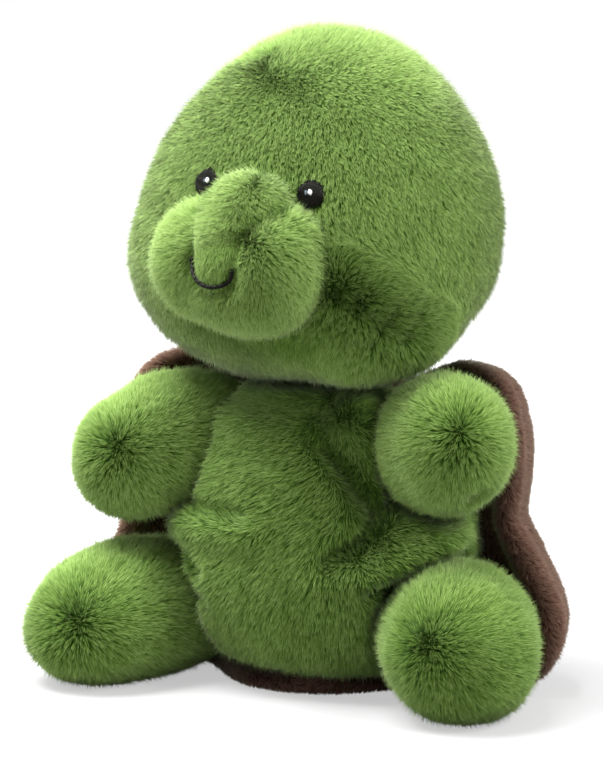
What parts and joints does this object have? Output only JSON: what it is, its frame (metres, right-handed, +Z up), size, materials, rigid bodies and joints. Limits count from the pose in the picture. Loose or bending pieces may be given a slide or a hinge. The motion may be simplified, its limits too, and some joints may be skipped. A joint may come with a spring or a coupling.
{
  "type": "plush turtle",
  "caption": "Seated soft toy turtle in green faux fur with an embroidered face, jointed head and limbs and a padded brown shell.",
  "frame": {"origin": "on the floor, on the flat seat below the middle of the belly", "axes": "the toy faces -Y, its left side is +X, +Z is up"},
  "size_m": [0.1978, 0.1401, 0.2362],
  "materials": {
    "green_fur": "faux fur polyester pile, 5 mm",
    "brown_plush": "short brown polyester plush",
    "brown_lining": "short dark brown plush, flat",
    "fibrefill": "polyester fibrefill",
    "pouch_cotton": "cotton pouch of pellets",
    "black_thread": "satin-stitched embroidery thread",
    "white_thread": "satin-stitched embroidery thread"
  },
  "bodies": {
    "torso": {"torso_cover": "green_fur", "torso_stuffing": "fibrefill", "bean_pouch": "pouch_cotton", "shell_cover": "brown_plush", "shell_stuffing": "fibrefill", "shell_lining": "brown_lining", "shell_rim": "brown_plush"},
    "neck": {"neck_stuffing": "fibrefill"},
    "head": {"head_cover": "green_fur", "head_stuffing": "fibrefill", "muzzle_cover": "green_fur", "muzzle_stuffing": "fibrefill", "nose_bridge": "green_fur", "eye_left": "black_thread", "eye_right": "black_thread", "eye_glint_left": "white_thread", "eye_glint_right": "white_thread", "mouth_stitch": "black_thread"},
    "arm_left": {"arm_left_cover": "green_fur", "arm_left_stuffing": "fibrefill"},
    "arm_right": {"arm_right_cover": "green_fur", "arm_right_stuffing": "fibrefill"},
    "leg_left": {"leg_left_cover": "green_fur", "leg_left_stuffing": "fibrefill"},
    "leg_right": {"leg_right_cover": "green_fur", "leg_right_stuffing": "fibrefill"}
  },
  "joints": [
    {"name": "neck_nod", "type": "hinge", "parent": "torso", "child": "neck", "pos_m": [0, -0.003, 0.108], "axis": [1, 0, 0], "range_deg": [-8, 8], "stiffness_Nm_per_rad": 1.5},
    {"name": "neck_turn", "type": "hinge", "parent": "neck", "child": "head", "pos_m": [0, -0.003, 0.108], "axis": [0, 0, 1], "range_deg": [-20, 20], "stiffness_Nm_per_rad": 0.6},
    {"name": "arm_left_lift", "type": "hinge", "parent": "torso", "child": "arm_left", "pos_m": [0.046, -0.007, 0.09], "axis": [-0.766, -0.6428, 0], "range_deg": [-10, 20], "stiffness_Nm_per_rad": 0.3},
    {"name": "arm_right_lift", "type": "hinge", "parent": "torso", "child": "arm_right", "pos_m": [-0.046, -0.007, 0.09], "axis": [-0.7071, 0.7071, 0], "range_deg": [-10, 20], "stiffness_Nm_per_rad": 0.3},
    {"name": "leg_left_splay", "type": "hinge", "parent": "torso", "child": "leg_left", "pos_m": [0.057, -0.008, 0.0253], "axis": [0, 0, 1], "range_deg": [-10, 12], "stiffness_Nm_per_rad": 0.4},
    {"name": "leg_right_splay", "type": "hinge", "parent": "torso", "child": "leg_right", "pos_m": [-0.057, -0.008, 0.0253], "axis": [0, 0, 1], "range_deg": [-12, 10], "stiffness_Nm_per_rad": 0.4}
  ]
}
